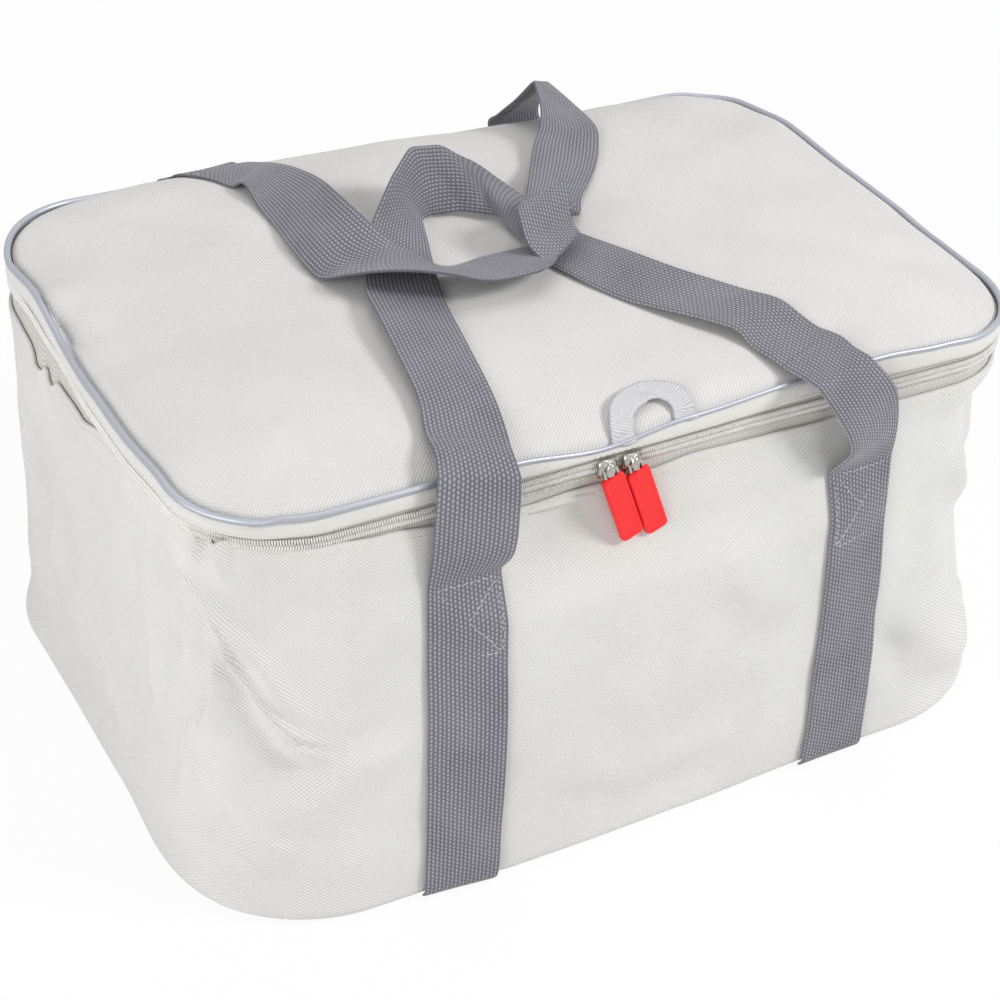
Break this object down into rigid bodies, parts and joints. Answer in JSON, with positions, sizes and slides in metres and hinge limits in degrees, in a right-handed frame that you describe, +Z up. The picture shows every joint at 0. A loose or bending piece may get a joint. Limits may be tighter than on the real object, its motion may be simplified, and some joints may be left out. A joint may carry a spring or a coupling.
{
  "type": "soft cooler bag",
  "caption": "Rectangular insulated carrier bag with a zipped, hinged lid, rounded corners, a lift loop and two webbing handles draped over the lid.",
  "frame": {"origin": "middle of the flat underside, on the surface that the bag stands on", "axes": "+Z up; +X along the length, to the right when looking at the zipped front; -Y towards that front"},
  "size_m": [0.4596, 0.346, 0.2803],
  "materials": {
    "fabric": "matte",
    "trim": "matte",
    "foam": "matte",
    "liner": "satin",
    "piping": "satin",
    "tape": "matte",
    "coil": "satin",
    "metal": "polished",
    "rubber": "satin",
    "ribbon": "satin",
    "webbing": "matte",
    "thread": "matte"
  },
  "bodies": {
    "bag": {"base_panel": "fabric", "base_foam": "foam", "wall_shell": "fabric", "wall_foam": "foam", "liner_tub": "liner", "mouth_binding": "trim", "lower_zip_tape": "tape", "lower_zip_coil": "coil", "rear_hinge_strip": "fabric", "zip_stop_left": "metal", "zip_stop_right": "metal", "front_leg_left": "webbing", "front_leg_right": "webbing", "back_leg_left": "webbing", "back_leg_right": "webbing", "front_stitch_left": "thread", "front_stitch_right": "thread", "back_stitch_left": "thread", "back_stitch_right": "thread"},
    "lid": {"lid_panel": "fabric", "lid_foam": "foam", "lid_liner": "liner", "lid_piping": "piping", "lid_gusset": "trim", "upper_zip_tape": "tape", "upper_zip_coil": "coil"},
    "lift_tab": {"lift_loop": "ribbon"},
    "slider_left": {"left_slider": "metal"},
    "slider_right": {"right_slider": "metal"},
    "pull_left": {"left_pull_link": "metal", "left_pull_tab": "rubber"},
    "pull_right": {"right_pull_link": "metal", "right_pull_tab": "rubber"},
    "front_folds": {"front_fold_left": "webbing", "front_fold_right": "webbing"},
    "front_handle": {"front_loop": "webbing"},
    "back_folds": {"back_fold_left": "webbing", "back_fold_right": "webbing"},
    "back_handle": {"back_loop": "webbing"}
  },
  "joints": [
    {"name": "lid_hinge", "type": "hinge", "parent": "bag", "child": "lid", "pos_m": [0, 0.1525, 0.2232], "axis": [-1, 0, 0], "range_deg": [0, 100], "deforming": ["front_fold_left", "front_fold_right", "front_loop", "back_fold_left", "back_fold_right", "back_loop"]},
    {"name": "lift_loop_hinge", "type": "hinge", "parent": "lid", "child": "lift_tab", "pos_m": [-0.003, -0.1487, 0.2272], "axis": [1, 0, 0], "range_deg": [0, 110]},
    {"name": "left_slider_run", "type": "slide", "parent": "bag", "child": "slider_left", "axis": [-1, 0, 0], "range_m": [0, 0.127]},
    {"name": "right_slider_run", "type": "slide", "parent": "bag", "child": "slider_right", "axis": [1, 0, 0], "range_m": [0, 0.179]},
    {"name": "left_pull_flap", "type": "hinge", "parent": "slider_left", "child": "pull_left", "pos_m": [-0.0327, -0.15805, 0.212], "axis": [-0.9397, -0.0225, -0.3413], "range_deg": [0, 140]},
    {"name": "right_pull_flap", "type": "hinge", "parent": "slider_right", "child": "pull_right", "pos_m": [-0.0193, -0.15805, 0.212], "axis": [-0.9397, -0.0225, -0.3413], "range_deg": [0, 140]},
    {"name": "front_fold_flip", "type": "hinge", "parent": "bag", "child": "front_folds", "pos_m": [0, -0.164, 0.235], "axis": [1, 0, 0], "range_deg": [0, 245]},
    {"name": "back_fold_flip", "type": "hinge", "parent": "bag", "child": "back_folds", "pos_m": [0, 0.164, 0.234], "axis": [-1, 0, 0], "range_deg": [0, 245]},
    {"name": "front_handle_lift", "type": "hinge", "parent": "front_folds", "child": "front_handle", "pos_m": [0, -0.116, 0.2395], "axis": [-1, 0, 0], "range_deg": [-85, 0]},
    {"name": "back_handle_lift", "type": "hinge", "parent": "back_folds", "child": "back_handle", "pos_m": [0, 0.116, 0.2493], "axis": [1, 0, 0], "range_deg": [-85, 0]}
  ],
  "couplings": [
    {"joint": "front_fold_flip", "follows": "lid_hinge", "ratio": 2.45},
    {"joint": "back_fold_flip", "follows": "lid_hinge", "ratio": 2.45},
    {"joint": "back_handle_lift", "follows": "front_handle_lift", "ratio": 1}
  ]
}
